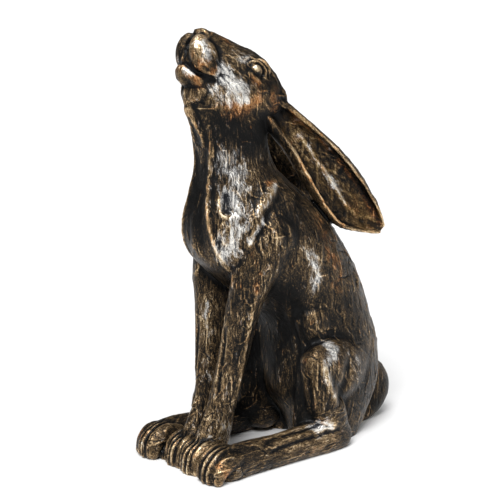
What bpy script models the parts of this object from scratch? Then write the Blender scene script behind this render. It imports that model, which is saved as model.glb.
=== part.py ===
"""A seated hare with its head raised and its ears laid back: one cast figure.

The figure faces -Y, its left side is +X and it stands on Z = 0.
Every point and radius below is in thousandths of the height, so HEIGHT alone sets the size.
The masses of the body are lofted or turned as closed forms, fused into one skin and smoothed.
The toes, lips and ears are added to that skin, and folds and ridges are then carved in it.
"""

import math

import bmesh
import bpy
import numpy as np
from mathutils import Matrix, Vector, kdtree

HEIGHT = 0.46  # floor to the tip of the nose, in metres
UNIT = HEIGHT / 1000
GRAIN = 4.0  # edge of the fused skin's faces
SIDES = 28  # points round a lofted ring
STEPS = 5  # rings between two stations of a loft
TRIANGLES = 9600
RIGHT_FOOT = (-8, -9, 0)
RIGHT_PAW = (0, 5, 0)
CLAY = (0.045, 0.036, 0.028, 1)


def clear_scene():
    for obj in list(bpy.data.objects):
        bpy.data.objects.remove(obj)


def smooth_stations(stations, steps):
    """Rows between the given ones, on a Catmull-Rom curve through all their numbers."""
    rows = np.array(stations, float)
    ends = np.vstack([2 * rows[0] - rows[1], rows, 2 * rows[-1] - rows[-2]])
    found = []
    for i in range(len(rows) - 1):
        a, b, c, d = ends[i : i + 4]
        for t in np.arange(steps) / steps:
            found.append(
                0.5 * (2 * b + (c - a) * t + (2 * a - 5 * b + 4 * c - d) * t**2
                       + (3 * b - a - 3 * c + d) * t**3)
            )
    found.append(rows[-1])
    return np.array(found)


def skin_rings(mesh, rings):
    """Bridges rings of points into one closed tube, with a fan at each end."""
    loops = [[mesh.verts.new(point) for point in ring] for ring in rings]
    count = len(loops[0])
    for lower, upper in zip(loops, loops[1:]):
        for i in range(count):
            j = (i + 1) % count
            mesh.faces.new((lower[i], lower[j], upper[j], upper[i]))
    for loop, turned in ((loops[0], True), (loops[-1], False)):
        centre = mesh.verts.new(sum((v.co for v in loop), Vector()) / count)
        for i in range(count):
            pair = (loop[i], loop[(i + 1) % count])
            mesh.faces.new((pair[1], pair[0], centre) if turned else (*pair, centre))


def rounded_ends(centres, across, deep):
    """Rings added at both ends of a loft, which close it like the end of a sausage."""
    for at in (0, -1):
        inner = 1 if at == 0 else -2
        out = centres[at] - centres[inner]
        out = out / np.linalg.norm(out)
        reach = min(np.linalg.norm(across[at]), np.linalg.norm(deep[at]))
        for angle in (30, 55, 75):
            turn = math.radians(angle)
            row = (
                centres[at] + out * reach * math.sin(turn),
                across[at] * math.cos(turn),
                deep[at] * math.cos(turn),
            )
            yield at, row


def loft_axes(mesh, centres, across, deep, closed_round=True):
    """A loft whose rings are ellipses on the given half axes."""
    rows = list(zip(centres, across, deep))
    if closed_round:
        first, last = [], []
        for at, row in rounded_ends(centres, across, deep):
            (first if at == 0 else last).append(row)
        rows = first[::-1] + rows + last
    angles = 2 * math.pi * np.arange(SIDES) / SIDES
    rings = [
        [Vector((c + a * math.cos(t) + d * math.sin(t)) * UNIT) for t in angles]
        for c, a, d in rows
    ]
    skin_rings(mesh, rings)


def trunk(mesh, stations):
    """A mass on the middle plane. Each station holds the front and back points and the half width."""
    rows = smooth_stations(stations, STEPS)
    front = np.column_stack([0 * rows[:, 0], rows[:, 0], rows[:, 1]])
    back = np.column_stack([0 * rows[:, 0], rows[:, 2], rows[:, 3]])
    across = np.column_stack([rows[:, 4], 0 * rows[:, 4], 0 * rows[:, 4]])
    loft_axes(mesh, (front + back) / 2, across, (back - front) / 2)


def limb(mesh, stations, side=(1, 0, 0)):
    """A mass along a line of points. Each station holds the point, the radius along side and the other radius."""
    rows = smooth_stations(stations, STEPS)
    centres = rows[:, :3]
    along = np.gradient(centres, axis=0)
    along = along / np.linalg.norm(along, axis=1)[:, None]
    out = np.array(side, float) - along * (along @ np.array(side, float))[:, None]
    out = out / np.linalg.norm(out, axis=1)[:, None]
    loft_axes(mesh, centres, out * rows[:, 3:4], np.cross(along, out) * rows[:, 4:5])


def lump(mesh, centre, radii, pitch=0, yaw=0):
    """An ellipsoid, tipped about X by pitch and then turned about Z by yaw, in degrees."""
    turn = Matrix.Rotation(math.radians(yaw), 4, "Z") @ Matrix.Rotation(math.radians(pitch), 4, "X")
    place = Matrix.Translation(Vector(centre) * UNIT) @ turn @ Matrix.Diagonal((*(Vector(radii) * UNIT), 1))
    bmesh.ops.create_icosphere(mesh, subdivisions=3, radius=1, matrix=place)


def mirrored(mesh, start):
    """Copies the faces made since start to the other side of the middle plane."""
    mesh.faces.ensure_lookup_table()
    made = bmesh.ops.duplicate(mesh, geom=mesh.faces[start:])["geom"]
    verts = [v for v in made if isinstance(v, bmesh.types.BMVert)]
    faces = [f for f in made if isinstance(f, bmesh.types.BMFace)]
    for vert in verts:
        vert.co.x = -vert.co.x
    bmesh.ops.reverse_faces(mesh, faces=faces)


def body_masses(mesh):
    trunk(mesh, [  # front y z, back y z, half width
        (46, -40, 172, -40, 80),
        (8, 50, 216, 45, 103),
        (-42, 125, 254, 125, 121),
        (-50, 222, 250, 215, 126),
        (-58, 300, 228, 285, 125),
        (-105, 355, 183, 405, 122),
        (-195, 420, 120, 505, 126),
        (-268, 490, 57, 580, 120),
        (-287, 560, 1, 625, 104),
        (-271, 635, -54, 672, 82),
        (-258, 695, -77, 716, 69),
        (-265, 755, -84, 760, 66),
        (-299, 830, -78, 815, 60),
    ])


def head_masses(mesh):
    trunk(mesh, [
        (-80, 795, -36, 838, 50),
        (-130, 772, -56, 886, 62),
        (-195, 780, -98, 931, 66),
        (-245, 812, -150, 957, 56),
        (-280, 850, -200, 980, 44),
        (-298, 885, -238, 994, 35),
    ])


def limb_masses(mesh):
    start = len(mesh.faces)
    lump(mesh, (70, -114, 556), (38, 58, 92), pitch=-36)
    lump(mesh, (36, -185, 848), (30, 66, 52), pitch=-25)
    limb(mesh, [
        (86, -118, 540, 44, 70),
        (82, -148, 490, 43, 62),
        (72, -174, 430, 39, 51),
        (60, -185, 375, 35, 44),
        (48, -198, 290, 32, 39),
        (38, -210, 220, 29, 37),
        (30, -224, 150, 27, 36),
        (27, -240, 95, 27, 42),
        (27, -262, 46, 28, 50),
    ])
    limb(mesh, [
        (58, 140, 150, 50, 84),
        (86, 100, 178, 50, 86),
        (107, 50, 200, 46, 78),
        (119, 0, 222, 38, 60),
        (122, -28, 232, 30, 42),
    ])
    limb(mesh, [
        (122, -22, 235, 34, 40),
        (123, -4, 160, 34, 46),
        (121, 22, 95, 31, 48),
        (117, 46, 50, 28, 40),
    ])
    limb(mesh, [
        (116, 68, 28, 26, 36),
        (118, 20, 36, 30, 44),
        (119, -60, 38, 29, 42),
        (118, -150, 36, 28, 41),
        (118, -225, 38, 29, 43),
        (118, -276, 34, 34, 44),
    ])
    limb(mesh, [
        (92, -4, 330, 28, 52),
        (88, 14, 250, 32, 44),
        (86, 10, 170, 34, 46),
        (84, -2, 100, 34, 46),
        (84, -8, 40, 32, 46),
    ])
    lump(mesh, (84, 62, 22), (38, 42, 46))
    lump(mesh, (74, -292, 10), (18, 28, 26))
    mirrored(mesh, start)
    lump(mesh, (-96, -44, 98), (34, 34, 60))


def tail_mass(mesh):
    limb(mesh, [
        (0, 200, 150, 26, 26),
        (0, 248, 128, 38, 40),
        (0, 274, 84, 40, 50),
        (0, 260, 44, 35, 44),
        (0, 222, 14, 26, 28),
    ])


def toes(mesh):
    """Four toes on each foot, the middle ones a little longer."""
    start = len(mesh.faces)
    for k, (reach, drop) in enumerate(((-3, 0), (0, 0), (-3, 2), (-10, 7))):
        x = 90 + 16 * k
        limb(mesh, [
            (x, -244, 52 - drop, 9, 16),
            (x, -288, 54 - drop, 15, 24),
            (x - 1, -322 - reach, 40 - drop, 15.5, 20),
            (x - 1, -332 - reach, 12, 13, 14),
        ])
    for k, reach in enumerate((-5, 0, -1, -6)):
        x = 12 + 13.5 * k
        limb(mesh, [
            (x, -266, 60, 8, 12),
            (x, -290, 57, 12, 17),
            (x, -316 - reach, 42, 13, 18),
            (x, -325 - reach, 9, 12.5, 14),
        ])
    mirrored(mesh, start)


def ear(mesh):
    """The left ear: a leaf rolled into a trough that opens outwards. Angles run round the trough's axis."""
    rows = smooth_stations([  # x y z, half height, half depth, thickness, first and last angle
        (40, -106, 826, 19, 18, 28, 60, 300),
        (53, -76, 795, 29, 27, 26, 58, 300),
        (64, -24, 742, 40, 34, 18, 55, 296),
        (72, 42, 668, 56, 38, 15, 52, 292),
        (77, 112, 586, 61, 36, 14, 50, 290),
        (83, 165, 543, 41, 26, 13, 50, 285),
        (89, 195, 519, 23, 16, 13, 58, 276),
        (93, 215, 503, 9, 7, 12, 80, 268),
    ], STEPS)
    along = np.gradient(rows[:, :3], axis=0)
    along = along / np.linalg.norm(along, axis=1)[:, None]
    out = np.array((1.0, 0, 0)) - along * along[:, :1]
    out = out / np.linalg.norm(out, axis=1)[:, None]
    up = np.cross(along, out)
    up = up * np.sign(up[:, 2:3])
    rings = []
    half = SIDES // 2
    for row, sideways, upward in zip(rows, out, up):
        tall, deep, thick, first, last = row[3:]
        shares = np.linspace(0, 1, half)
        outer = [(thick / 2 * (0.4 + 0.6 * min(1, 5 * min(share, 1 - share))), share) for share in shares]
        inner = [(-grown, share) for grown, share in outer[::-1]]
        ring = []
        for grown, share in outer + inner:
            t = math.radians(first + (last - first) * share)
            place = row[:3] + sideways * (deep + grown) * math.cos(t) + upward * (tall + grown) * math.sin(t)
            ring.append(Vector(place * UNIT))
        rings.append(ring)
    skin_rings(mesh, rings)


def ears(mesh):
    start = len(mesh.faces)
    ear(mesh)
    mirrored(mesh, start)


def face_masses(mesh):
    start = len(mesh.faces)
    lump(mesh, (47, -130, 906), (14, 30, 20), pitch=-20)
    limb(mesh, [
        (14, -261, 984, 14, 14),
        (21, -277, 961, 20, 24),
        (30, -273, 932, 20, 26),
        (38, -252, 906, 14, 20),
    ])
    limb(mesh, [(12, -296, 906, 19, 20), (18, -281, 892, 18, 21)])
    lump(mesh, (27, -257, 940), (21, 25, 38), pitch=25)
    lump(mesh, (34, -76, 836), (24, 34, 30), pitch=-42)
    mirrored(mesh, start)
    lump(mesh, (0, -299, 904), (24, 22, 27))
    lump(mesh, (0, -274, 866), (34, 28, 40), pitch=-20)
    lump(mesh, (0, -256, 990), (16, 16, 11))


def to_object(mesh, name):
    data = bpy.data.meshes.new(name)
    bmesh.ops.recalc_face_normals(mesh, faces=mesh.faces)
    mesh.to_mesh(data)
    mesh.free()
    obj = bpy.data.objects.new(name, data)
    bpy.context.scene.collection.objects.link(obj)
    return obj


def applied(obj):
    """Replaces the object's mesh by what its modifiers make of it."""
    bpy.context.view_layer.update()
    graph = bpy.context.evaluated_depsgraph_get()
    mesh = bpy.data.meshes.new_from_object(obj.evaluated_get(graph))
    obj.modifiers.clear()
    obj.data = mesh


def fuse(obj, grain, rounds):
    remesh = obj.modifiers.new("fused skin", "REMESH")
    remesh.mode = "VOXEL"
    remesh.voxel_size = grain * UNIT
    remesh.adaptivity = 0
    if rounds:
        smooth = obj.modifiers.new("softened joins", "SMOOTH")
        smooth.factor = 0.5
        smooth.iterations = rounds
    applied(obj)


def spaced(path, gap):
    """Points along a smooth curve through the given ones, no further apart than gap."""
    rows = smooth_stations(path, 8) if len(path) > 2 else np.array(path, float)
    found = [rows[0]]
    for first, last in zip(rows, rows[1:]):
        count = max(1, math.ceil(np.linalg.norm(last - first) / gap))
        for i in range(count):
            found.append(first + (last - first) * (i + 1) / count)
    return np.array(found)


def carve(obj, works):
    """Raises or cuts the skin along paths. Each work is (width, height, points), on both sides of the body."""
    mesh = obj.data
    points = np.empty(len(mesh.vertices) * 3)
    mesh.vertices.foreach_get("co", points)
    points = points.reshape(-1, 3) / UNIT
    normals = np.empty(len(mesh.vertices) * 3)
    mesh.vertices.foreach_get("normal", normals)
    normals = normals.reshape(-1, 3)
    tree = kdtree.KDTree(len(points))
    for i, point in enumerate(points):
        tree.insert(point, i)
    tree.balance()
    lift = np.zeros(len(points))
    for width, height, path in works:
        for side in (1, -1):
            line = spaced(path, width / 3) * (side, 1, 1)
            line = np.array([tree.find(point)[0] for point in line])
            for _ in range(3):
                line[1:-1] = (line[:-2] + 2 * line[1:-1] + line[2:]) / 4
            low, high = line.min(0) - 3 * width, line.max(0) + 3 * width
            near = np.flatnonzero(((points > low) & (points < high)).all(1))
            share = np.zeros(len(near))
            for i, point in enumerate(line):
                faded = min(1, 0.35 + 4 * min(i, len(line) - 1 - i) / len(line)) if len(path) > 2 else 1
                share = np.maximum(share, faded * np.exp(-((points[near] - point) ** 2).sum(1) / width**2))
            lift[near] += height * share
            if np.abs(np.array(path)[:, 0]).max() < 1:
                break
    points = points + normals * lift[:, None]
    mesh.vertices.foreach_set("co", (points * UNIT).ravel())
    mesh.update()


def muscle_lines():
    """Width, height and path of the folds, tendons and ridges that show from a step away."""
    return [
        (7, 7, [(36, -262, 790), (31, -258, 747), (28, -257, 703), (32, -266, 660), (39, -276, 618),
                (49, -279, 575), (58, -270, 530), (60, -250, 489), (66, -227, 434)]),
        (14, -7, [(8, -276, 670), (14, -288, 620), (24, -292, 560), (28, -278, 500)]),
        (8, 6, [(4, -300, 840), (8, -284, 800), (14, -272, 770), (16, -264, 735)]),
        (9, -5, [(18, -290, 828), (20, -276, 790)]),
        (15, -10, [(69, -243, 634), (73, -241, 608)]),
        (6, 5, [(57, -252, 640), (60, -256, 616), (68, -254, 596), (78, -242, 590)]),
        (14, 9, [(80, -112, 650), (93, -150, 621), (100, -180, 592), (101, -201, 553)]),
        (10, 7, [(108, -165, 583), (106, -186, 556), (101, -204, 524)]),
        (12, -6, [(100, -140, 600), (104, -166, 570), (103, -190, 535)]),
        (12, 6, [(127, -145, 537)]),
        (22, -7, [(30, -284, 833), (45, -257, 810), (58, -220, 797), (62, -172, 800)]),
        (12, -5, [(122, -62, 228), (126, -48, 255), (116, -10, 272), (114, 24, 280), (122, 50, 275)]),
        (17, -9, [(146, 60, 222), (146, 55, 170), (146, 34, 128)]),
        (10, 6, [(154, -32, 235), (156, -20, 205), (157, -8, 172), (154, 14, 128)]),
        (10, -5, [(134, -54, 213), (132, -49, 168), (129, -40, 125), (126, -26, 92)]),
        (15, 8, [(136, -6, 76), (142, 8, 70)]),
        (8, 5, [(104, -186, 412), (90, -191, 351), (78, -198, 280), (63, -203, 207), (54, -208, 158)]),
        (6, -5, [(50, -237, 330), (49, -243, 270), (47, -249, 212), (47, -252, 165)]),
        (6, -4, [(144, 30, 58), (142, -40, 54), (141, -110, 52), (144, -190, 48)]),
        (6, -4, [(136, 10, 76), (131, -70, 74), (130, -150, 72)]),
        (10, 5, [(85, -83, 379), (62, -44, 310), (60, -22, 241), (70, -40, 180)]),
        (14, -8, [(108, -70, 350), (100, -56, 300), (96, -46, 250)]),
    ]


def face_lines():
    return [
        (5, -7, [(0, -308, 927), (12, -306, 926), (27, -300, 914), (37, -283, 902),
                 (43, -269, 896), (49, -257, 893)]),
        (9, -6, [(47, -262, 884)]),
        (10, -3, [(34, -236, 960), (39, -241, 943), (48, -249, 924)]),
        (5, -8, [(0, -280, 984), (0, -292, 970), (0, -298, 950), (0, -302, 934)]),
        (6, -7, [(12, -270, 993), (19, -268, 994), (25, -262, 988)]),
        (5, 4, [(43, -176, 922), (43, -161, 931), (46, -146, 936), (52, -126, 931), (56, -112, 917), (58, -108, 900)]),
        (4.5, -7, [(55, -146, 920), (58, -136, 918), (62, -128, 908), (62, -127, 896), (61, -133, 887)]),
        (8.5, 8, [(58, -148, 908)]),
        (7, 3, [(54, -164, 901), (58, -157, 890), (61, -144, 881)]),
    ]


def toe_lines():
    """Grooves between the toes, carried up over the knuckles."""
    found = []
    for k in range(3):
        x = 98 + 16 * k
        found.append((6, -3.5, [(x, -276, 82), (x, -300, 76), (x, -336, 50), (x, -342, 12)]))
        x = 18.75 + 13.5 * k
        found.append((5.5, -3.2, [(x, -296, 82), (x, -312, 70), (x, -330, 48), (x, -336, 12)]))
    return found


def set_right_feet(obj):
    """Sets the right hind foot a little forward and outward of the left one, and the right paw a little back."""
    for vert in obj.data.vertices:
        x, y, z = vert.co / UNIT
        if z > 130 or x > 0:
            continue
        if x < -70 and y < -100:
            share = min(1, (-70 - x) / 20) * min(1, (-100 - y) / 150)
            vert.co += Vector(RIGHT_FOOT) * share * UNIT
        elif x > -70 and y < -220:
            share = min(1, -x / 14) * min(1, (x + 70) / 14) * min(1, (-220 - y) / 60)
            vert.co += Vector(RIGHT_PAW) * share * UNIT
    obj.data.update()


def cut_flat(obj):
    """Cuts the figure off at the floor and closes the soles."""
    mesh = bmesh.new()
    mesh.from_mesh(obj.data)
    geom = mesh.verts[:] + mesh.edges[:] + mesh.faces[:]
    cut = bmesh.ops.bisect_plane(mesh, geom=geom, plane_co=(0, 0, 0), plane_no=(0, 0, -1), clear_outer=True)
    rim = [e for e in cut["geom_cut"] if isinstance(e, bmesh.types.BMEdge)]
    bmesh.ops.holes_fill(mesh, edges=rim)
    bmesh.ops.triangulate(mesh, faces=mesh.faces)
    mesh.to_mesh(obj.data)
    mesh.free()


def thin_out(obj):
    """Fewer, larger faces where the skin is plain."""
    data = obj.data
    data.calc_loop_triangles()
    decimate = obj.modifiers.new("fewer faces", "DECIMATE")
    decimate.ratio = TRIANGLES / len(data.loop_triangles)
    decimate.use_collapse_triangulate = True
    applied(obj)


def seat(obj):
    """Moves the figure so that its box stands on the origin, and scales it to the stated height."""
    points = np.empty(len(obj.data.vertices) * 3)
    obj.data.vertices.foreach_get("co", points)
    points = points.reshape(-1, 3)
    low, high = points.min(0), points.max(0)
    middle = np.array([(low[0] + high[0]) / 2, (low[1] + high[1]) / 2, low[2]])
    points = (points - middle) * HEIGHT / (high[2] - low[2])
    obj.data.vertices.foreach_set("co", points.ravel())
    obj.data.update()


def clay():
    material = bpy.data.materials.new("bronzed resin")
    material.use_nodes = True
    shader = material.node_tree.nodes["Principled BSDF"]
    shader.inputs["Base Color"].default_value = CLAY
    shader.inputs["Metallic"].default_value = 0.4
    shader.inputs["Roughness"].default_value = 0.4
    return material


def main():
    clear_scene()
    mesh = bmesh.new()
    body_masses(mesh)
    head_masses(mesh)
    limb_masses(mesh)
    tail_mass(mesh)
    core = to_object(mesh, "core")
    fuse(core, GRAIN, 24)
    mesh = bmesh.new()
    mesh.from_mesh(core.data)
    bpy.data.objects.remove(core)
    face_masses(mesh)
    toes(mesh)
    ears(mesh)
    hare = to_object(mesh, "hare")
    fuse(hare, GRAIN, 4)
    carve(hare, muscle_lines() + face_lines() + toe_lines())
    set_right_feet(hare)
    thin_out(hare)
    cut_flat(hare)
    seat(hare)
    hare.data.materials.append(clay())


main()
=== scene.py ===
# The looks of a seated hare cast in bronzed resin, built round the imported part.
# The figure is modelled again at a finer grain, with its fur, and painted by masks kept on the mesh, some of
# which paint highlights and shade.
import math

import bmesh
import bpy
import numpy as np
from mathutils import Matrix, Vector, kdtree


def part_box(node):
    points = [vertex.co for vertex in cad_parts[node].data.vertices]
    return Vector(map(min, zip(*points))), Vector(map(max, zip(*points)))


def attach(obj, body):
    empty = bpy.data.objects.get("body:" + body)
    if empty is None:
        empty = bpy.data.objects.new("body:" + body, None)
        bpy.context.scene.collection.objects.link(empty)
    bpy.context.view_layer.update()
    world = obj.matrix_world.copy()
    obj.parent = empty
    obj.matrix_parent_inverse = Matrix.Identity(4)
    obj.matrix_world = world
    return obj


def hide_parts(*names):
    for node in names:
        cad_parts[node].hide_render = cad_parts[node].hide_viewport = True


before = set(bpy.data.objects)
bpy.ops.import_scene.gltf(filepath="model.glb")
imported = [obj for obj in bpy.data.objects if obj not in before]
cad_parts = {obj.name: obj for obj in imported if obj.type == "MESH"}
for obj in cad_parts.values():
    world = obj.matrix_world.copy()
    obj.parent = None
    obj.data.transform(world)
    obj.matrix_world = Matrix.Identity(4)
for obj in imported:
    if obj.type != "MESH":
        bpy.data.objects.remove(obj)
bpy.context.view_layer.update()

figure = {
    "height": 0.46,  # floor to the tip of the nose, metres; all points below are thousandths of it
    "grain": 2.2,  # edge of the fused skin's faces
    "triangles": 194000,
    "sides": 40,  # points round a ring
    "steps": 8,  # rings between two stations
    "bodySmoothing": 80,  # rounds
    "joinSmoothing": 12,
}
unit = figure["height"] / 1000


# Tools for masses, skins and carving.

def smoothStations(stations, steps):
    # rows between the given ones, on a Catmull-Rom curve through all their numbers
    rows = np.array(stations, float)
    ends = np.vstack([2 * rows[0] - rows[1], rows, 2 * rows[-1] - rows[-2]])
    found = []
    for i in range(len(rows) - 1):
        a, b, c, d = ends[i:i + 4]
        for t in np.arange(steps) / steps:
            found.append(0.5 * (2 * b + (c - a) * t + (2 * a - 5 * b + 4 * c - d) * t**2
                                + (3 * b - a - 3 * c + d) * t**3))
    found.append(rows[-1])
    return np.array(found)


def skinRings(mesh, rings):
    # bridges rings of points into one closed tube, with a fan at each end
    loops = [[mesh.verts.new(point) for point in ring] for ring in rings]
    count = len(loops[0])
    for lower, upper in zip(loops, loops[1:]):
        for i in range(count):
            j = (i + 1) % count
            mesh.faces.new((lower[i], lower[j], upper[j], upper[i]))
    for loop, turned in ((loops[0], True), (loops[-1], False)):
        centre = mesh.verts.new(sum((v.co for v in loop), Vector()) / count)
        for i in range(count):
            pair = (loop[i], loop[(i + 1) % count])
            mesh.faces.new((pair[1], pair[0], centre) if turned else (*pair, centre))


def loftAxes(mesh, centres, across, deep):
    # ellipses on the given half axes, closed at both ends like a sausage
    rows = list(zip(centres, across, deep))
    caps = {0: [], -1: []}
    for at, inner in ((0, 1), (-1, -2)):
        out = centres[at] - centres[inner]
        out = out / np.linalg.norm(out)
        reach = min(np.linalg.norm(across[at]), np.linalg.norm(deep[at]))
        for turn in np.radians((30, 55, 75)):
            caps[at].append((centres[at] + out * reach * math.sin(turn),
                             across[at] * math.cos(turn), deep[at] * math.cos(turn)))
    rows = caps[0][::-1] + rows + caps[-1]
    angles = 2 * math.pi * np.arange(figure["sides"]) / figure["sides"]
    skinRings(mesh, [[Vector((c + a * math.cos(t) + d * math.sin(t)) * unit) for t in angles]
                     for c, a, d in rows])


def trunk(mesh, stations):
    # a mass on the middle plane; each station is front y z, back y z, half width
    rows = smoothStations(stations, figure["steps"])
    none = np.zeros(len(rows))
    front = np.column_stack([none, rows[:, 0], rows[:, 1]])
    back = np.column_stack([none, rows[:, 2], rows[:, 3]])
    across = np.column_stack([rows[:, 4], none, none])
    loftAxes(mesh, (front + back) / 2, across, (back - front) / 2)


def limb(mesh, stations):
    # a mass along a line; each station is x y z, radius along x, other radius
    rows = smoothStations(stations, figure["steps"])
    centres = rows[:, :3]
    along = np.gradient(centres, axis=0)
    along = along / np.linalg.norm(along, axis=1)[:, None]
    side = np.array((1.0, 0, 0))
    out = side - along * (along @ side)[:, None]
    out = out / np.linalg.norm(out, axis=1)[:, None]
    loftAxes(mesh, centres, out * rows[:, 3:4], np.cross(along, out) * rows[:, 4:5])


def lump(mesh, centre, radii, pitch=0):
    # an ellipsoid, pitched about x
    place = (Matrix.Translation(Vector(centre) * unit) @ Matrix.Rotation(math.radians(pitch), 4, "X")
             @ Matrix.Diagonal((*(Vector(radii) * unit), 1)))
    bmesh.ops.create_icosphere(mesh, subdivisions=4, radius=1, matrix=place)


def mirrored(mesh, start):
    # copies the faces made since start to the other side of the middle plane
    mesh.faces.ensure_lookup_table()
    made = bmesh.ops.duplicate(mesh, geom=mesh.faces[start:])["geom"]
    for vert in [v for v in made if isinstance(v, bmesh.types.BMVert)]:
        vert.co.x = -vert.co.x
    bmesh.ops.reverse_faces(mesh, faces=[f for f in made if isinstance(f, bmesh.types.BMFace)])


def toObject(mesh, name):
    data = bpy.data.meshes.new(name)
    bmesh.ops.recalc_face_normals(mesh, faces=mesh.faces)
    mesh.to_mesh(data)
    mesh.free()
    obj = bpy.data.objects.new(name, data)
    bpy.context.scene.collection.objects.link(obj)
    return obj


def applied(obj):
    # turns the object's modifiers into its mesh
    bpy.context.view_layer.update()
    graph = bpy.context.evaluated_depsgraph_get()
    mesh = bpy.data.meshes.new_from_object(obj.evaluated_get(graph))
    obj.modifiers.clear()
    obj.data = mesh


def fuse(obj, rounds):
    # one skin over all the masses, smoothed for so many rounds
    remesh = obj.modifiers.new("fused skin", "REMESH")
    remesh.mode = "VOXEL"
    remesh.voxel_size = figure["grain"] * unit
    remesh.adaptivity = 0
    smooth = obj.modifiers.new("softened joins", "SMOOTH")
    smooth.factor = 0.5
    smooth.iterations = rounds
    applied(obj)


def spaced(path, gap):
    # points on a smooth curve through the path, no further apart than the gap
    rows = smoothStations(path, 8) if len(path) > 2 else np.array(path, float)
    found = [rows[0]]
    for first, last in zip(rows, rows[1:]):
        count = max(1, math.ceil(np.linalg.norm(last - first) / gap))
        found += [first + (last - first) * (i + 1) / count for i in range(count)]
    return np.array(found)


def readVectors(mesh, name="co"):
    values = np.empty(len(mesh.vertices) * 3)
    mesh.vertices.foreach_get(name, values)
    return values.reshape(-1, 3)


def treeOf(points):
    tree = kdtree.KDTree(len(points))
    for i, point in enumerate(points):
        tree.insert(point, i)
    tree.balance()
    return tree


def sidesOf(path):
    # a path on the middle plane is used once, and any other on both sides
    return (1,) if np.abs(np.array(path)[:, 0]).max() < 1 else (1, -1)


def alongPath(points, line, width, fade):
    # the share, 0 to 1, of a soft line at each point near it, and which points those are
    low, high = line.min(0) - 3 * width, line.max(0) + 3 * width
    near = np.flatnonzero(((points > low) & (points < high)).all(1))
    share = np.zeros(len(near))
    for i, point in enumerate(line):
        fromEnd = min(i, len(line) - 1 - i) / len(line)
        faded = min(1, 0.35 + 4 * fromEnd) if fade else 1
        share = np.maximum(share, faded * np.exp(-((points[near] - point) ** 2).sum(1) / width**2))
    return near, share


def carved(points, tree, works):
    # how far the works, each of width, height and path, lift or sink the skin
    lift = np.zeros(len(points))
    for width, height, path in works:
        for side in sidesOf(path):
            line = spaced(path, width / 3) * (side, 1, 1)
            line = np.array([tree.find(point)[0] for point in line])
            for _ in range(3):
                line[1:-1] = (line[:-2] + 2 * line[1:-1] + line[2:]) / 4
            near, share = alongPath(points, line, width, len(path) > 2)
            lift[near] += height * share
    return lift


def maskOf(points, places):
    # where a finish lies: each place is width, strength and path, and its side where it has only one
    mask = np.zeros(len(points))
    for width, strength, path, *only in places:
        for side in only or sidesOf(path):
            near, share = alongPath(points, spaced(path, width / 3) * (side, 1, 1), width, False)
            mask[near] = np.maximum(mask[near], strength * share)
    return mask


# The masses of the body.

body = {
    "trunk": [  # front y z, back y z, half width
        (46, -40, 172, -40, 80), (8, 50, 216, 45, 103), (-42, 125, 254, 125, 121),
        (-50, 222, 250, 215, 126), (-58, 300, 228, 285, 125), (-105, 355, 183, 405, 122),
        (-195, 420, 120, 505, 126), (-268, 490, 57, 580, 120), (-287, 560, 1, 625, 104),
        (-271, 635, -54, 672, 82), (-258, 695, -77, 716, 69), (-265, 755, -84, 760, 66),
        (-299, 830, -78, 815, 60)],
    "head": [
        (-80, 795, -36, 838, 50), (-130, 772, -56, 886, 62), (-195, 780, -98, 931, 66),
        (-245, 812, -150, 957, 56), (-280, 850, -200, 980, 44), (-298, 885, -238, 994, 35)],
    "tail": [  # x y z, radius along x, other radius
        (0, 200, 150, 26, 26), (0, 248, 128, 38, 40), (0, 274, 84, 40, 50), (0, 260, 44, 35, 44),
        (0, 222, 14, 26, 28)],
    "shoulder": [(70, -114, 556), (38, 58, 92), -36],
    "cheek": [(36, -185, 848), (30, 66, 52), -25],
    "foreleg": [
        (86, -118, 540, 44, 70), (82, -148, 490, 43, 62), (72, -174, 430, 39, 51),
        (60, -185, 375, 35, 44), (48, -198, 290, 32, 39), (38, -210, 220, 29, 37),
        (30, -224, 150, 27, 36), (27, -240, 95, 27, 42), (27, -262, 46, 28, 50)],
    "thigh": [
        (58, 140, 150, 50, 84), (86, 100, 178, 50, 86), (107, 50, 200, 46, 78),
        (119, 0, 222, 38, 60), (122, -28, 232, 30, 42)],
    "shin": [(122, -22, 235, 34, 40), (123, -4, 160, 34, 46), (121, 22, 95, 31, 48), (117, 46, 50, 28, 40)],
    "hindFoot": [
        (116, 68, 28, 26, 36), (118, 20, 36, 30, 44), (119, -60, 38, 29, 42), (118, -150, 36, 28, 41),
        (118, -225, 38, 29, 43), (118, -276, 34, 34, 44)],
    "innerWall": [
        (92, -4, 330, 28, 52), (88, 14, 250, 32, 44), (86, 10, 170, 34, 46), (84, -2, 100, 34, 46),
        (84, -8, 40, 32, 46)],
    "rightInnerShin": [(-96, -44, 98), (34, 34, 60)],
    "hockWeb": [(84, 62, 22), (38, 42, 46)],
    "footWeb": [(74, -292, 10), (18, 28, 26)],
    "rightFoot": (-8, -9, 0),  # how far it is set from the left one's mirror image
    "rightPaw": (0, 5, 0),
    "ankle": 130,  # the height that they are set below
}


def bodyMasses(mesh):
    trunk(mesh, body["trunk"])
    trunk(mesh, body["head"])
    start = len(mesh.faces)
    for name in ("shoulder", "cheek", "hockWeb", "footWeb"):
        lump(mesh, *body[name])
    for name in ("foreleg", "thigh", "shin", "hindFoot", "innerWall"):
        limb(mesh, body[name])
    mirrored(mesh, start)
    lump(mesh, *body["rightInnerShin"])
    limb(mesh, body["tail"])


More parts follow.
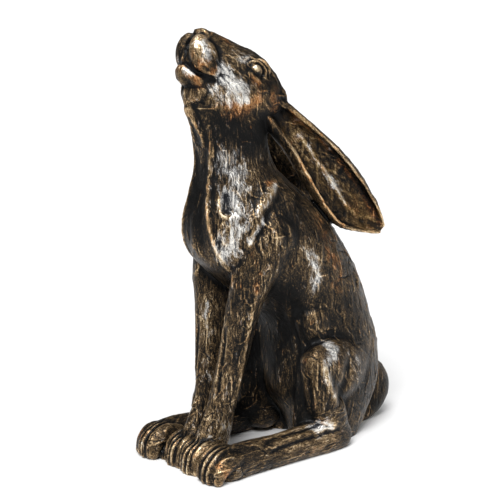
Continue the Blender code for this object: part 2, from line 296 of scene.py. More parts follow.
toeShape = {
    "hind": {
        "first": 90, "gap": 16,  # x of the innermost toe, and from each toe to the next
        "reach": (-3, 0, -3, -10), "drop": (0, 0, 2, 7),  # of each toe, from the inside out
        "stations": [  # x from the toe's own, y z, radius along x, other radius
            (0, -244, 52, 9, 16), (0, -288, 54, 15, 24), (-1, -322, 40, 15.5, 20), (-1, -332, 12, 13, 14)],
        "groove": (6, -3.5, [(-276, 82), (-300, 76), (-336, 50), (-342, 12)])},  # width, height, y and z
    "fore": {
        "first": 12, "gap": 13.5,
        "reach": (-5, 0, -1, -6), "drop": (0, 0, 0, 0),
        "stations": [
            (0, -266, 60, 8, 12), (0, -290, 57, 12, 17), (0, -316, 42, 13, 18), (0, -325, 9, 12.5, 14)],
        "groove": (5.5, -3.2, [(-296, 82), (-312, 70), (-330, 48), (-336, 12)])},
}


def toes(mesh):
    # the last two stations of a toe reach forward, and all but the last drop
    start = len(mesh.faces)
    for foot in toeShape.values():
        for k, (reach, drop) in enumerate(zip(foot["reach"], foot["drop"])):
            own = foot["first"] + foot["gap"] * k
            limb(mesh, [(own + x, y - reach * (i > 1), z - drop * (i < 3), wide, tall)
                        for i, (x, y, z, wide, tall) in enumerate(foot["stations"])])
    mirrored(mesh, start)


def toeGrooves():
    # one between each toe and the next
    found = []
    for k in range(3):
        for foot in toeShape.values():
            width, height, path = foot["groove"]
            x = foot["first"] + foot["gap"] * (k + 0.5)
            found.append((width, height, [(x, y, z) for y, z in path]))
    return found


earShape = {
    "stations": [  # x y z, half height, half depth, thickness, first and last angle
        (40, -106, 826, 19, 18, 28, 60, 300), (53, -76, 795, 29, 27, 26, 58, 300),
        (64, -24, 742, 40, 34, 18, 55, 296), (72, 42, 668, 56, 38, 15, 52, 292),
        (77, 112, 586, 61, 36, 14, 50, 290), (83, 165, 543, 41, 26, 13, 50, 285),
        (89, 195, 519, 23, 16, 13, 58, 276), (93, 215, 503, 9, 7, 12, 80, 268)],
    "rim": 0.4,  # the wall's share of its thickness at the rims
    "taper": 5,  # how soon it is whole again: over one fifth of the trough
}


def ears(mesh):
    # each ear is a leaf rolled into a trough that opens outwards
    start = len(mesh.faces)
    rows = smoothStations(earShape["stations"], figure["steps"])
    along = np.gradient(rows[:, :3], axis=0)
    along = along / np.linalg.norm(along, axis=1)[:, None]
    out = np.array((1.0, 0, 0)) - along * along[:, :1]
    out = out / np.linalg.norm(out, axis=1)[:, None]
    up = np.cross(along, out)
    up = up * np.sign(up[:, 2:3])
    shares = np.linspace(0, 1, figure["sides"] // 2)
    walls = [earShape["rim"] + (1 - earShape["rim"]) * min(1, earShape["taper"] * min(share, 1 - share))
             for share in shares]
    rings = []
    for row, sideways, upward in zip(rows, out, up):
        tall, deep, thick, first, last = row[3:]
        outer = [(thick / 2 * wall, share) for wall, share in zip(walls, shares)]
        ring = []
        for grown, share in outer + [(-grown, share) for grown, share in outer[::-1]]:
            t = math.radians(first + (last - first) * share)
            place = row[:3] + sideways * (deep + grown) * math.cos(t)
            ring.append(Vector((place + upward * (tall + grown) * math.sin(t)) * unit))
        rings.append(ring)
    skinRings(mesh, rings)
    mirrored(mesh, start)


face = {  # a lump's centre, half sizes and pitch, or the stations of a limb
    "brow": [(47, -130, 906), (14, 30, 20), -20],
    "earRoot": [(34, -76, 836), (24, 34, 30), -42],
    "upperLip": [
        (14, -261, 984, 14, 14), (21, -277, 961, 20, 24), (30, -273, 932, 20, 26), (38, -252, 906, 14, 20)],
    "lowerLip": [(12, -296, 906, 19, 20), (18, -281, 892, 18, 21)],
    "padBack": [(27, -257, 940), (21, 25, 38), 25],
    "chin": [(0, -299, 904), (24, 22, 27)],
    "throat": [(0, -274, 866), (34, 28, 40), -20],
    "nose": [(0, -256, 990), (16, 16, 11)],
}


def faceMasses(mesh):
    start = len(mesh.faces)
    lump(mesh, *face["brow"])
    lump(mesh, *face["earRoot"])
    limb(mesh, face["upperLip"])
    limb(mesh, face["lowerLip"])
    lump(mesh, *face["padBack"])
    mirrored(mesh, start)
    for name in ("chin", "throat", "nose"):
        lump(mesh, *face[name])


carving = {  # folds, tendons, lids and veins: width, height and path of each
    "muscles": [
        (7, 7, [(36, -262, 790), (31, -258, 747), (28, -257, 703), (32, -266, 660), (39, -276, 618),
                (49, -279, 575), (58, -270, 530), (60, -250, 489), (66, -227, 434)]),
        (14, -7, [(8, -276, 670), (14, -288, 620), (24, -292, 560), (28, -278, 500)]),
        (8, 6, [(4, -300, 840), (8, -284, 800), (14, -272, 770), (16, -264, 735)]),
        (9, -5, [(18, -290, 828), (20, -276, 790)]),
        (15, -10, [(69, -243, 634), (73, -241, 608)]),
        (6, 5, [(57, -252, 640), (60, -256, 616), (68, -254, 596), (78, -242, 590)]),
        (14, 9, [(80, -112, 650), (93, -150, 621), (100, -180, 592), (101, -201, 553)]),
        (10, 7, [(108, -165, 583), (106, -186, 556), (101, -204, 524)]),
        (12, -6, [(100, -140, 600), (104, -166, 570), (103, -190, 535)]),
        (12, 6, [(127, -145, 537)]),
        (22, -7, [(30, -284, 833), (45, -257, 810), (58, -220, 797), (62, -172, 800)]),
        (12, -5, [(122, -62, 228), (126, -48, 255), (116, -10, 272), (114, 24, 280), (122, 50, 275)]),
        (17, -9, [(146, 60, 222), (146, 55, 170), (146, 34, 128)]),
        (10, 6, [(154, -32, 235), (156, -20, 205), (157, -8, 172), (154, 14, 128)]),
        (10, -5, [(134, -54, 213), (132, -49, 168), (129, -40, 125), (126, -26, 92)]),
        (15, 8, [(136, -6, 76), (142, 8, 70)]),
        (8, 5, [(104, -186, 412), (90, -191, 351), (78, -198, 280), (63, -203, 207), (54, -208, 158)]),
        (6, -5, [(50, -237, 330), (49, -243, 270), (47, -249, 212), (47, -252, 165)]),
        (6, -4, [(144, 30, 58), (142, -40, 54), (141, -110, 52), (144, -190, 48)]),
        (6, -4, [(136, 10, 76), (131, -70, 74), (130, -150, 72)]),
        (10, 5, [(85, -83, 379), (62, -44, 310), (60, -22, 241), (70, -40, 180)]),
        (14, -8, [(108, -70, 350), (100, -56, 300), (96, -46, 250)])],
    "face": [
        (5, -7, [(0, -308, 927), (12, -306, 926), (27, -300, 914), (37, -283, 902), (43, -269, 896),
                 (49, -257, 893)]),
        (9, -6, [(47, -262, 884)]),
        (10, -3, [(34, -236, 960), (39, -241, 943), (48, -249, 924)]),
        (5, -8, [(0, -280, 984), (0, -292, 970), (0, -298, 950), (0, -302, 934)]),
        (6, -7, [(12, -270, 993), (19, -268, 994), (25, -262, 988)]),
        (3.5, 2.6, [(43, -176, 922), (43, -161, 931), (45, -146, 936), (50, -127, 932), (55, -111, 919),
                  (57, -106, 902), (58, -108, 884)]),
        (3, -4, [(45, -152, 930), (52, -137, 931), (59, -124, 919), (61, -115, 903), (58, -113, 887)]),
        (3, 3, [(50, -166, 919), (49, -152, 925), (54, -141, 925), (60, -130, 917), (62, -121, 903),
                (61, -119, 889)]),
        (4.5, -8, [(55, -146, 920), (58, -136, 918), (62, -128, 908), (62, -127, 896), (61, -133, 887)]),
        (8.5, 8, [(58, -148, 908)]),
        (7, 3, [(54, -164, 901), (58, -157, 890), (61, -144, 881)])],
    "ears": [
        (6, 3, [(44, -16, 759), (43, 25, 708), (44, 62, 663), (47, 99, 616), (53, 129, 570), (66, 165, 535)]),
        (4, 1.2, [(44, 25, 708), (50, 56, 690), (60, 78, 688)]),
        (4, 1.4, [(44, 60, 664), (52, 96, 648), (62, 122, 628)]),
        (4, 1.2, [(47, 105, 610), (56, 130, 598), (66, 152, 580)]),
        (4, 1.2, [(44, 4, 732), (58, 4, 700), (76, 0, 668)]),
        (4, 1.4, [(44, 46, 684), (58, 48, 640), (78, 40, 606)]),
        (4, 1.0, [(46, 84, 636), (58, 92, 600), (78, 88, 572)]),
        (4, 1.2, [(52, 124, 580), (62, 130, 556), (78, 126, 536)])],
}


# Fur: rough strokes laid along the way the coat lies.

fur = {
    "seed": 7,
    "sets": [  # how many strokes, and their length, width and height
        (5200, (10, 55), (2.2, 4.4), (-1.5, 1.5)), (300, (25, 80), (8, 14), (-2.6, 2.2))],
    "straying": 0.35,  # how far a stroke turns from the coat's way, radians
    "bending": 0.02,  # and how much further at each step
    "step": 0.6,  # from a stroke's point to the next, in its widths
    "sparedInEars": 0.7,  # how much fainter the fur is inside the ears
    "blend": 30,  # how softly one way of the coat runs into the next
    "coatWays": [  # a place on the left side and the way the fur lies there
        ((14, -262, 986), (0, 0.8, 0.3)), ((30, -276, 950), (0.3, 0.3, -0.9)),
        ((20, -300, 900), (0.2, 0.5, -0.8)), ((48, -215, 900), (0.15, 0.5, -0.85)),
        ((50, -170, 880), (0.1, 0.55, -0.8)), ((20, -180, 955), (0, 0.9, -0.4)),
        ((30, -110, 920), (0, 0.8, -0.6)), ((60, -200, 830), (0, 0.3, -0.95)),
        ((45, -255, 760), (0, 0, -1)), ((65, -180, 700), (0.1, 0.05, -1)),
        ((30, -80, 740), (0, 0.3, -0.95)), ((0, -280, 640), (0, -0.1, -1)),
        ((80, -200, 600), (0.15, 0.1, -1)), ((110, -150, 560), (0.1, 0, -1)),
        ((60, -20, 640), (0.2, 0.6, -0.75)), ((20, 60, 590), (0.1, 0.7, -0.7)),
        ((110, -30, 480), (0, 0.25, -0.95)), ((110, 60, 440), (0, 0.4, -0.9)),
        ((60, 180, 420), (0.1, 0.55, -0.8)), ((100, -60, 330), (0, 0.1, -1)),
        ((120, 60, 330), (0, 0.3, -0.95)), ((60, 230, 280), (0, 0.15, -1)),
        ((135, 20, 255), (0.1, 0.7, -0.6)), ((150, 60, 190), (0, 0.5, -0.85)),
        ((155, 0, 180), (0, 0.25, -1)), ((120, 130, 150), (0, 0.5, -0.85)),
        ((90, 170, 60), (0, 0.4, -0.9)), ((30, 260, 80), (0, 0.2, -1)), ((140, 20, 60), (0, -1, 0.1)),
        ((140, -120, 40), (0, -1, 0)), ((120, -260, 60), (0, -1, -0.1)),
        ((80, -200, 400), (-0.15, -0.1, -1)), ((50, -215, 250), (-0.1, -0.1, -1)),
        ((40, -240, 120), (0, -0.25, -0.95)), ((30, -290, 70), (0, -0.8, -0.55)),
        ((0, -100, 250), (0, 0, -1)), ((60, 0, 745), (0.1, 0.7, -0.7)),
        ((75, 100, 600), (0.1, 0.7, -0.7)), ((85, 190, 520), (0.1, 0.75, -0.6))],
}


def coatWay(points, normals):
    # the way the fur lies at each point, in the plane of the skin
    ways = np.zeros_like(points)
    for place, way in fur["coatWays"]:
        way = np.array(way, float) / np.linalg.norm(way)
        for side in (1, -1):
            gap = ((points - np.array(place) * (side, 1, 1)) ** 2).sum(1)
            ways += (way * (side, 1, 1)) / (gap + fur["blend"] ** 2)[:, None] ** 2
    ways -= normals * (ways * normals).sum(1)[:, None]
    return ways / np.maximum(np.linalg.norm(ways, axis=1), 1e-12)[:, None]


def furStrokes(points, normals, tree, amount):
    # how far the strokes lift or sink the skin, each drawn along the coat from a point picked at random
    ways = coatWay(points, normals)
    draw = np.random.default_rng(fur["seed"])
    lift = np.zeros(len(points))
    strokes = [wanted[1:] for wanted in fur["sets"] for _ in range(wanted[0])]
    for lengths, widths, heights in strokes:
        start = draw.integers(0, len(points))
        length, width, height = draw.uniform(*lengths), draw.uniform(*widths), draw.uniform(*heights)
        turn = draw.normal(0, fur["straying"])
        bend = draw.normal(0, fur["bending"])
        height *= amount[start]
        at, place = start, points[start]
        step = width * fur["step"]
        count = int(length / step)
        shares = {}
        for i in range(count):
            way, normal = ways[at], normals[at]
            across = np.cross(normal, way)
            angle = turn + bend * i
            place = place + (way * math.cos(angle) + across * math.sin(angle)) * step
            place, at, _ = tree.find(place)
            place = np.array(place)
            faded = math.sin(math.pi * (i + 0.7) / (count + 0.4)) ** 0.6
            for _, index, gap in tree.find_range(place, width * 1.5):
                share = faded * math.exp(-(gap / width) ** 2 * 2)
                if share > shares.get(index, 0):
                    shares[index] = share
        for index, share in shares.items():
            lift[index] += height * share
    return lift


# Building the hare.

def builtSkin():
    mesh = bmesh.new()
    bodyMasses(mesh)
    core = toObject(mesh, "core")
    fuse(core, figure["bodySmoothing"])
    mesh = bmesh.new()
    mesh.from_mesh(core.data)
    bpy.data.objects.remove(core)
    faceMasses(mesh)
    toes(mesh)
    ears(mesh)
    skin = toObject(mesh, "hare_cast")
    fuse(skin, figure["joinSmoothing"])
    return skin


def ramp(values, start, length):
    # 0 up to start, and 1 from length past it
    return np.clip((values - start) / length, 0, 1)


def setRightFeet(points):
    # the right hind foot stands forward and outward of the left one, and the right paw a little back
    x, y, z = points.T
    low = z < body["ankle"]
    foot = ramp(-x, 70, 20) * ramp(-y, 100, 150) * low
    paw = ramp(-x, 0, 14) * ramp(x, -70, 14) * ramp(-y, 220, 60) * low
    return points + foot[:, None] * np.array(body["rightFoot"]) + paw[:, None] * np.array(body["rightPaw"])


def edgesOf(mesh):
    edges = np.empty(len(mesh.edges) * 2, np.int64)
    mesh.edges.foreach_get("vertices", edges)
    return edges.reshape(-1, 2)


def averaged(values, edges, rounds):
    # each value drawn towards the mean of its neighbours
    count = np.bincount(edges.ravel(), minlength=len(values))
    for _ in range(rounds):
        total = np.bincount(edges[:, 0], values[edges[:, 1]], len(values))
        total += np.bincount(edges[:, 1], values[edges[:, 0]], len(values))
        values = (values + total / np.maximum(count, 1)) / 2
    return values


def bulge(points, normals, edges, rounds):
    # how far the skin stands out from its own smoothed shape
    soft = np.column_stack([averaged(points[:, k], edges, rounds) for k in range(3)])
    return ((points - soft) * normals).sum(1)


def placedInFrame(obj):
    # fits the figure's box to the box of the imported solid
    points = readVectors(obj.data)
    low, high = points.min(0), points.max(0)
    cast = [np.array(corner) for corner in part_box("hare")]
    points = cast[0] + (points - low) * (cast[1] - cast[0]) / (high - low)
    obj.data.vertices.foreach_set("co", points.ravel())
    obj.data.update()


def cutAtFloor(obj):
    # flat soles where the figure stands
    mesh = bmesh.new()
    mesh.from_mesh(obj.data)
    geom = mesh.verts[:] + mesh.edges[:] + mesh.faces[:]
    cut = bmesh.ops.bisect_plane(mesh, geom=geom, plane_co=(0, 0, 0), plane_no=(0, 0, -1), clear_outer=True)
    bmesh.ops.holes_fill(mesh, edges=[e for e in cut["geom_cut"] if isinstance(e, bmesh.types.BMEdge)])
    bmesh.ops.triangulate(mesh, faces=mesh.faces)
    mesh.to_mesh(obj.data)
    mesh.free()


def thinned(obj, triangles):
    obj.data.calc_loop_triangles()
    decimate = obj.modifiers.new("fewer faces", "DECIMATE")
    decimate.ratio = min(1, triangles / len(obj.data.loop_triangles))
    decimate.use_collapse_triangulate = True
    applied(obj)


paint = {
    "pale": [  # width, strength and path of champagne dry-brushing, laid partly as painted highlight on the muzzle, cheek, brow, neck, thigh top and hock where the light falls
        (18, 0.95, [(34, -282, 966), (43, -274, 948)], 1),
        (13, 0.8, [(14, -310, 914), (24, -304, 908)], 1),
        (16, 1.0, [(47, -236, 918), (52, -220, 896), (58, -202, 868), (62, -186, 846)]),
        (16, 0.9, [(46, -240, 898), (54, -216, 866), (60, -196, 844)]),
        (18, 0.75, [(42, -250, 868), (46, -236, 852), (52, -222, 842)]),
        (10, 0.7, [(56, -190, 886), (62, -176, 862)]),
        # painted highlight on the dome of the eye
        (6, 1.0, [(60, -150, 911)]),
        (20, 0.5, [(44, -185, 932), (46, -160, 938)]),
        # the near side of the neck painted paler than the far side, as painted highlight
        (30, 0.7, [(48, -226, 715), (60, -208, 680), (66, -202, 640)], 1),
        (32, 0.75, [(58, -232, 630), (76, -214, 600), (72, -232, 545), (66, -238, 505)], 1),
        (28, 0.5, [(52, -226, 690), (66, -224, 600), (70, -234, 540)], -1),
        (10, 0.9, [(82, -114, 646), (93, -150, 621), (99, -178, 596)]),
        (9, 0.7, [(108, -165, 583), (106, -186, 556), (102, -202, 530)]),
        (18, 0.6, [(124, -52, 500), (124, -26, 450), (118, -26, 405)]),
        (20, 0.8, [(133, 2, 268), (146, 10, 252), (148, -18, 225)]),
        (14, 0.5, [(158, -15, 205), (158, 5, 150)]),
        (18, 0.8, [(142, 2, 74), (134, -30, 70)]),
        # painted highlight: a pale streak down the far foreleg
        (9, 0.8, [(-40, -214, 365), (-34, -218, 305), (-25, -223, 245), (-18, -228, 185)], 1),
        (8, 0.6, [(58, -24, 790), (66, 20, 760), (68, 70, 712)]),
        (16, 0.35, [(44, -10, 750), (44, 30, 705), (46, 70, 655), (50, 105, 610)]),
        (12, 0.6, [(46, 80, 640), (52, 125, 585)]),
        (20, 0.35, [(48, -243, 105), (44, -270, 85)]),
        (34, 0.3, [(140, 70, 240), (140, 105, 200), (134, 100, 150)])],
    "copper": [  # width, strength and path of copper dry-brushing
        (14, 0.9, [(28, -286, 972), (30, -290, 950), (36, -286, 925)], 1),
        (14, 0.8, [(40, -278, 935), (48, -262, 915)]),
        (14, 0.9, [(8, -308, 912), (24, -296, 896), (32, -284, 880)]),
        (22, 1.0, [(50, -222, 834), (62, -184, 824), (62, -150, 834)]),
        (9, 0.9, [(57, -163, 893), (62, -145, 876)]),
        (16, 0.6, [(20, -240, 990), (24, -215, 980)]),
        (5, 0.4, [(36, -264, 680), (40, -276, 618), (50, -279, 575), (58, -272, 530), (62, -250, 489),
                  (68, -228, 434)], 1),
        (9, 0.7, [(102, -200, 520), (108, -186, 470), (104, -187, 419)]),
        (12, 0.8, [(84, -130, 655), (78, -105, 660)]),
        (6, 0.8, [(64, -56, 806), (61, 8, 760), (64, 68, 708), (66, 122, 650), (70, 162, 598),
                  (78, 192, 551), (88, 210, 518)]),
        (6, 0.8, [(41, -29, 732), (80, -40, 702), (86, -16, 658), (89, 10, 616), (90, 47, 572),
                  (90, 90, 536)]),
        (30, 0.6, [(100, 10, 560), (114, 30, 500), (124, 50, 400)]),
        (22, 0.6, [(60, -108, 856), (58, -96, 815)]),
        (16, 0.6, [(22, -288, 968), (30, -292, 940), (36, -286, 922)], 1),
        (10, 0.8, [(40, -276, 925), (46, -262, 914)], 1),
        (18, 0.6, [(20, -230, 985), (26, -200, 972)]),
        (26, 0.4, [(60, 150, 480), (90, 150, 400)]),
        (8, 0.8, [(-91, -6, 254), (-70, -4, 208), (-60, 0, 150)], 1),
        (8, 0.6, [(125, -59, 235), (128, -40, 262), (118, -8, 278), (120, 30, 284)]),
        (16, 1.0, [(150, -305, 30), (140, -318, 40)]),
        (14, 0.5, [(100, -322, 40), (124, -322, 44)]),
        (14, 0.5, [(20, -312, 50), (50, -310, 50)]),
        (12, 0.6, [(142, -10, 84), (148, 14, 76)]),
        (14, 0.4, [(145, 30, 40), (140, -60, 20)]),
        (22, 0.4, [(0, 284, 90), (0, 270, 40)])],
    "earInside": [
        (34, 1.0, [(66, -40, 770), (66, 20, 705), (70, 90, 620), (76, 140, 570), (84, 180, 535)])],
    "plain": [  # painted shade: places darkened where shade falls, in creases, under the jaw, on the belly, between the legs and on the far side; the brush hardly reached them either
        (40, 0.5, [(20, 286, 90), (20, 280, 40)]),
        (26, 1.0, [(84, -60, 250), (84, -60, 150), (84, -56, 60)]),
        (7, 1.0, [(3, -286, 984), (4, -298, 962), (4, -304, 938)], 1),
        (12, 0.6, [(42, -268, 925), (46, -258, 918)], 1),
        (16, 0.9, [(-16, -290, 972), (-22, -294, 945)], 1),
        (5, 1.0, [(2, -308, 927), (14, -306, 925), (27, -300, 913), (37, -284, 901), (43, -270, 896),
                  (48, -262, 890)], 1),
        (9, 0.9, [(46, -262, 886)], 1),
        (7, 0.7, [(35, -236, 962), (40, -241, 943)], 1),
        (3, 1.0, [(60, -129, 912), (62, -127, 898), (61, -132, 888)]),
        (42, 1.0, [(40, -240, 785), (60, -190, 760), (50, -120, 760)]),
        (40, 1.0, [(0, -60, 330), (50, -60, 320), (0, -60, 200)]),
        (34, 0.9, [(95, -96, 410), (95, -70, 340), (90, -40, 240), (84, -40, 140)]),
        (34, 0.9, [(-12, -240, 690), (-10, -262, 610), (-5, -285, 560)]),
        (24, 0.7, [(110, -120, 600), (118, -90, 540)]),
        (20, 0.9, [(60, -200, 330), (40, -200, 200)])],
}


def reshaped(skin, points):
    # moves the skin to the points and gives its new normals
    skin.data.vertices.foreach_set("co", (points * unit).ravel())
    skin.data.update()
    return readVectors(skin.data, "normal")


def paintMasks(points, normals, edges):
    # what the finish reads: how far the skin stands out, where each paint lies, and where highlight and shade
    # are painted
    masks = {"fineRidge": bulge(points, normals, edges, 4), "wideRidge": bulge(points, normals, edges, 40)}
    for name, values in masks.items():
        masks[name] = np.clip(values / values.std(), -3, 3)
    for name in ("pale", "copper", "earInside", "plain"):
        masks[name] = maskOf(points, paint[name])
    return masks


def coatShares(points, normals):
    # how near the coat lies to each of the ways that streaks are drawn along
    ways = coatWay(points, normals)
    shares = np.array([np.abs(ways @ np.array(Vector(way).normalized())) ** 10 for way in streakWays])
    return {f"coat{k}": share for k, share in enumerate(shares / shares.sum(0))}


def buildHare():
    skin = builtSkin()
    points = readVectors(skin.data) / unit
    normals = readVectors(skin.data, "normal")
    print("skin fused,", len(points), "points")
    works = carving["muscles"] + carving["face"] + carving["ears"] + toeGrooves()
    points = points + normals * carved(points, treeOf(points), works)[:, None]
    normals = reshaped(skin, points)
    print("folds carved")
    amount = 1 - fur["sparedInEars"] * np.clip(maskOf(points, paint["earInside"]), 0, 1)
    points = points + normals * furStrokes(points, normals, treeOf(points), amount)[:, None]
    normals = reshaped(skin, points)
    print("fur laid")
    masks = paintMasks(points, normals, edgesOf(skin.data))
    points = setRightFeet(points)
    reshaped(skin, points)
    masks.update(coatShares(points, normals))
    cutAtFloor(skin)
    thinned(skin, figure["triangles"])
    skin.data.validate()  # drops the few doubled faces that thinning leaves
    tree = treeOf(points)
    nearest = np.array([tree.find(point)[1] for point in readVectors(skin.data) / unit])
    for name, values in masks.items():
        layer = skin.data.attributes.new(name, "FLOAT", "POINT")
        layer.data.foreach_set("value", values[nearest])
    placedInFrame(skin)
    skin.data.polygons.foreach_set("use_smooth", [True] * len(skin.data.polygons))
    print("hare built,", len(skin.data.polygons), "triangles")
    return skin


# Shader maths.

class Value:
    # a socket that takes part in sums; each sum adds its Math node
    def __init__(self, tree, socket):
        self.tree, self.socket = tree, socket

    def done(self, operation, first, second=None):
        node = self.tree.nodes.new("ShaderNodeMath")
        node.operation = operation
        for slot, given in zip(node.inputs, (first, second)):
            if isinstance(given, Value):
                self.tree.links.new(given.socket, slot)
            elif given is not None:
                slot.default_value = given
        return Value(self.tree, node.outputs[0])

    def __add__(self, other):
        return self.done("ADD", self, other)

    def __radd__(self, other):
        return self.done("ADD", other, self)

    def __sub__(self, other):
        return self.done("SUBTRACT", self, other)

    def __rsub__(self, other):
        return self.done("SUBTRACT", other, self)

    def __mul__(self, other):
        return self.done("MULTIPLY", self, other)

    def __rmul__(self, other):
        return self.done("MULTIPLY", other, self)

    def atLeast(self, other):
        return self.done("MAXIMUM", self, other)

    def atMost(self, other):
        return self.done("MINIMUM", self, other)

    def size(self):
        return self.done("ABSOLUTE", self)

    def held(self):
        return self.atLeast(0.0).atMost(1.0)


class Finish:
    # one material and the one way its nodes are made
    def __init__(self, name):
        self.material = bpy.data.materials.new(name)
        self.material.use_nodes = True
        self.tree = self.material.node_tree
        self.shader = self.tree.nodes["Principled BSDF"]

    def node(self, kind, settings=None, output=0, **sockets):
        made = self.tree.nodes.new(kind)
        for name, setting in (settings or {}).items():
            if name == "stops":
                self.setStops(made.color_ramp, setting)
            else:
                setattr(made, name, setting)
        for name, given in sockets.items():  # by name, or by number as _0, _1 and so on
            slot = made.inputs[int(name[1:])] if name[1:].isdigit() else made.inputs[name]
            self.feed(slot, given)
        return Value(self.tree, made.outputs[output])

    def setStops(self, ramp, stops):
        while len(ramp.elements) < len(stops):
            ramp.elements.new(0.5)
        for element, (place, colour) in zip(ramp.elements, stops):
            element.position = place
            element.color = (*colour, 1)

    def feed(self, slot, given):
        if isinstance(given, Value):
            self.tree.links.new(given.socket, slot)
        else:
            slot.default_value = (*given, 1) if slot.type == "RGBA" else given

    def kept(self, name):
        # a value kept on the mesh
        return self.node("ShaderNodeAttribute", {"attribute_name": name}, output=2)

    def mixed(self, share, first, second):
        return self.node("ShaderNodeMix", {"data_type": "RGBA"}, output=2, _0=share, _6=first, _7=second)

    def stepped(self, value, low, high):
        # 0 below low, 1 above high and soft between them
        soft = {"interpolation_type": "SMOOTHSTEP"}
        return self.node("ShaderNodeMapRange", soft, _0=value, _1=low, _2=high)

    def toned(self, value, tones):
        # the colour that a set of tones has at the value
        return self.node("ShaderNodeValToRGB", {"stops": finish[tones]}, _0=value)

    def noise(self, place, scale, detail=2, roughness=0.5, distortion=0.0):
        return self.node("ShaderNodeTexNoise", Vector=place, Scale=scale, Detail=detail, Roughness=roughness,
                         Distortion=distortion)

    def vectors(self, operation, first, second, output=0):
        return self.node("ShaderNodeVectorMath", {"operation": operation}, output=output, _0=first, _1=second)

    def scaled(self, vector, amount):
        return self.node("ShaderNodeVectorMath", {"operation": "SCALE"}, _0=vector, _3=amount)


# The bronzed finish, with painted highlights and painted shade.

# the ways that streaks are drawn along, which the coat's own way is shared out between
streakWays = [(0, 0.05, -1), (0, 0.6, -0.8), (0, 0.9, -0.43), (0, 1, 0)]
finish = {
    "warmTones": [  # how hard the brush rubbed, with the painted highlights and painted shade added, and the colour it left
        (0.0, (0.003, 0.003, 0.003)), (0.30, (0.004, 0.004, 0.004)), (0.44, (0.014, 0.012, 0.010)),
        (0.58, (0.084, 0.054, 0.027)), (0.74, (0.30, 0.205, 0.110)), (1.0, (0.82, 0.67, 0.44))],
    # the silvery tones, laid on the pale places and so partly painted highlight
    "paleTones": [
        (0.0, (0.004, 0.004, 0.005)), (0.32, (0.016, 0.017, 0.020)), (0.46, (0.066, 0.068, 0.073)),
        (0.64, (0.35, 0.345, 0.335)), (0.82, (0.78, 0.75, 0.70)), (1.0, (0.95, 0.92, 0.86))],
    "copperTones": [
        (0.0, (0.004, 0.003, 0.003)), (0.32, (0.014, 0.008, 0.005)), (0.48, (0.080, 0.032, 0.012)),
        (0.66, (0.34, 0.145, 0.048)), (0.84, (0.66, 0.38, 0.17)), (1.0, (0.90, 0.70, 0.45))],
    "earTones": [
        (0.0, (0.004, 0.003, 0.002)), (0.30, (0.018, 0.011, 0.005)), (0.44, (0.060, 0.036, 0.015)),
        (0.58, (0.145, 0.090, 0.036)), (0.76, (0.39, 0.27, 0.13)), (1.0, (0.82, 0.70, 0.48))],
    "streaks": {  # how many to a metre, their length in widths, fineness and waviness
        "strand": (900.0, 9.0, 2.0, 0.15), "lock": (240.0, 4.0, 3.0, 0.15),
        "scratch": (400.0, 9.0, 1.0, 0.35)},
    "scratchWidth": 0.035,  # how far from 0 a streak still makes a scratch
    "spots": {  # how many to a metre, fineness and roughness
        "patch": (26.0, 3.0, 0.6), "cloud": (90.0, 2.0, 0.5), "grit": (950.0, 2.0, 0.6)},
    "wander": (90.0, 0.006),  # bends of the streaks to a metre, and how wide they are
    "edges": {  # where each begins and where it is whole
        "busy": (-0.15, 0.25), "worn": (1.0, 2.8), "crests": (0.8, 2.8), "hollow": (0.5, 2.0),
        "golden": (0.2, 0.7), "coppery": (0.25, 0.9), "silvery": (0.25, 0.85)},
    # what each quality is made of: the layers, and how much of each
    "busy": {"patch": 1, "cloud": 0.8},
    "rubbed": {"ridge": 0.045, "rise": 0.055, "strand": 0.70, "lock": 0.50, "patch": 0.32, "grit": 0.65},
    "scratched": {"busy": 0.28, "pale": 0.22},
    # the pale places lift the tone, partly as painted highlight; the shaded places and the hollows lower it
    # as painted shade
    "tone": {"pale": 0.24, "copper": 0.10, "inside": 0.09, "plain": -0.19, "hollow": -0.20},
    "golden": {"inside": 1, "cloud": 1},
    "coppery": {"copper": 0.85, "inside": 0.35, "crests": 0.35, "strand": 1, "cloud": 1.8},
    "silvery": {"pale": 1, "lock": 1.8, "strand": 1.2, "cloud": 1.2},
    "roughness": {"cloud": 0.2, "tone": 0.10, "plain": 0.25},
    "relief": {"strand": 1, "lock": 1.3, "cloud": 0.4},
    "least": {"scratched": 0.04, "tone": 0.41, "roughness": 0.26},  # before anything is added
    "plainScratches": 0.5,  # the share of the scratches lost where shade is painted and the brush hardly reached
    "wornTone": 0.07,
    "metal": 0.9,  # for each step of tone
    "specular": 0.1,
    "bumpStrength": 0.8,
    "bumpDepth": 0.0009,
}


def streaks(look, place, kind, line=None):
    # streaks that follow the coat, about 0; or with line thin scratches, 0 to 1, where they pass 0
    scale, stretch, detail, waviness = finish["streaks"][kind]
    total = None
    for k, way in enumerate(streakWays):
        way = tuple(Vector(way).normalized())
        along = look.vectors("DOT_PRODUCT", place, way, output=1)
        spread = look.vectors("SUBTRACT", place, look.scaled(way, along * (1 - 1 / stretch)))
        streak = look.noise(spread, scale, detail, 0.6, waviness) - 0.5
        if line:
            streak = 1 - look.stepped(streak.size(), line * 0.3, line)
        share = streak * look.kept(f"coat{k}")
        total = share if total is None else total + share
    return total


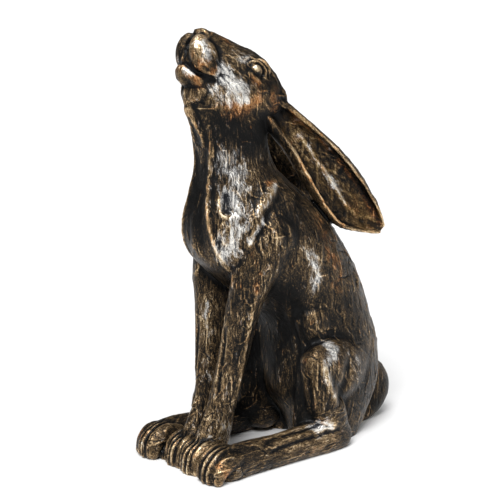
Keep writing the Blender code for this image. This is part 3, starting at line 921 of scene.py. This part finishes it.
def bronzedResin():
    look = Finish("bronzed resin")
    scale, reach = finish["wander"]
    place = look.node("ShaderNodeTexCoord", output=3)
    wander = look.node("ShaderNodeTexNoise", output=1, Vector=place, Scale=scale, Detail=1.0)
    place = look.vectors("ADD", place, look.scaled(look.vectors("SUBTRACT", wander, (0.5, 0.5, 0.5)), reach))
    layers = {name: streaks(look, place, name) for name in ("strand", "lock")}
    layers.update({name: look.noise(place, *spot) - 0.5 for name, spot in finish["spots"].items()})
    for name, source in (("ridge", "fineRidge"), ("rise", "wideRidge"), ("pale", "pale"),
                         ("copper", "copper"), ("inside", "earInside"), ("plain", "plain")):
        layers[name] = look.kept(source)

    def edge(name, value):
        return look.stepped(value, *finish["edges"][name])

    def weighed(name):
        # the sum of the layers, each by its weight
        parts = [layers[part] * weight for part, weight in finish[name].items()]
        return sum(parts, finish["least"].get(name, 0))

    layers["busy"] = edge("busy", weighed("busy"))
    layers["crests"] = edge("crests", layers["ridge"])
    # painted shade: the tone is darkened where the skin sinks below its smoothed shape
    layers["hollow"] = edge("hollow", layers["rise"] * -1.0)
    scratch = streaks(look, place, "scratch", finish["scratchWidth"])
    # fewer scratches where the shade is painted
    scratched = scratch * weighed("scratched") * (1 - layers["plain"] * finish["plainScratches"])
    scratched = scratched + edge("worn", layers["ridge"]) * finish["wornTone"]
    # the tone, with painted highlight from the pale places and painted shade from the shaded places and
    # hollows
    layers["tone"] = tone = weighed("rubbed") + scratched + weighed("tone")
    colour = look.toned(tone, "warmTones")
    for name, tones in (("golden", "earTones"), ("coppery", "copperTones"), ("silvery", "paleTones")):
        colour = look.mixed(edge(name, weighed(name)), colour, look.toned(tone, tones))
    bump = look.node("ShaderNodeBump", Strength=finish["bumpStrength"], Distance=finish["bumpDepth"],
                     Height=weighed("relief"))
    look.feed(look.shader.inputs["Base Color"], colour)
    look.feed(look.shader.inputs["Metallic"], (tone * finish["metal"]).held())
    look.feed(look.shader.inputs["Roughness"], weighed("roughness").held())
    look.feed(look.shader.inputs["Specular IOR Level"], finish["specular"])
    look.feed(look.shader.inputs["Normal"], bump)
    return look.material


hare = buildHare()
hare.data.materials.clear()
hare.data.materials.append(bronzedResin())
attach(hare, "root")
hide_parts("hare")
print("hare painted")


# Floor, lights and camera.

studio = {
    "floorSize": 60.0,
    "floorColour": (0.74, 0.74, 0.74),
    "worldColour": (1.0, 1.0, 1.0),
    "worldStrength": 0.14,
    "floorRoughness": 0.9,
    "suns": [  # azimuth, height and softness in degrees, strength
        (38, 47, 26, 4.2), (112, 30, 30, 0.8), (40, 76, 40, 1.2)],
}
camera = {
    "azimuth": 50.84,  # degrees round from the front, towards the hare's left
    "pitch": 13.0,
    "distance": 1.5986,  # metres from the aim
    "lens": 111.6,  # millimetres
    "sensor": 36,
    "aim": (0.0298, -0.0719, 0.2321),
}


def outwards(azimuth, height):
    # the way from the hare towards something that stands there
    a, e = math.radians(azimuth), math.radians(height)
    return Vector((math.sin(a) * math.cos(e), -math.cos(a) * math.cos(e), math.sin(e)))


def makeFloor():
    mesh = bmesh.new()
    half = studio["floorSize"] / 2
    corners = ((-half, -half), (half, -half), (half, half), (-half, half))
    mesh.faces.new([mesh.verts.new((x, y, 0)) for x, y in corners])
    floor = toObject(mesh, "floor")
    look = Finish("pale floor")
    look.feed(look.shader.inputs["Base Color"], studio["floorColour"])
    look.feed(look.shader.inputs["Roughness"], studio["floorRoughness"])
    floor.data.materials.append(look.material)


def makeLights():
    for i, (azimuth, height, softness, strength) in enumerate(studio["suns"]):
        data = bpy.data.lights.new(f"softSun{i}", "SUN")
        data.angle, data.energy = math.radians(softness), strength
        light = bpy.data.objects.new(f"softSun{i}", data)
        light.rotation_euler = outwards(azimuth, height).to_track_quat("Z", "Y").to_euler()
        bpy.context.scene.collection.objects.link(light)
    world = bpy.data.worlds.new("studio")
    world.use_nodes = True
    background = world.node_tree.nodes["Background"]
    background.inputs["Color"].default_value = (*studio["worldColour"], 1)
    background.inputs["Strength"].default_value = studio["worldStrength"]
    bpy.context.scene.world = world


def makeCamera():
    data = bpy.data.cameras.new("camera")
    data.lens, data.sensor_width = camera["lens"], camera["sensor"]
    eye = bpy.data.objects.new("camera", data)
    back = outwards(camera["azimuth"], camera["pitch"])
    eye.location = Vector(camera["aim"]) + back * camera["distance"]
    eye.rotation_euler = back.to_track_quat("Z", "Y").to_euler()
    bpy.context.scene.collection.objects.link(eye)
    bpy.context.scene.camera = eye
    bpy.context.scene.view_settings.view_transform = "Standard"


makeFloor()
makeLights()
makeCamera()
print("studio ready")
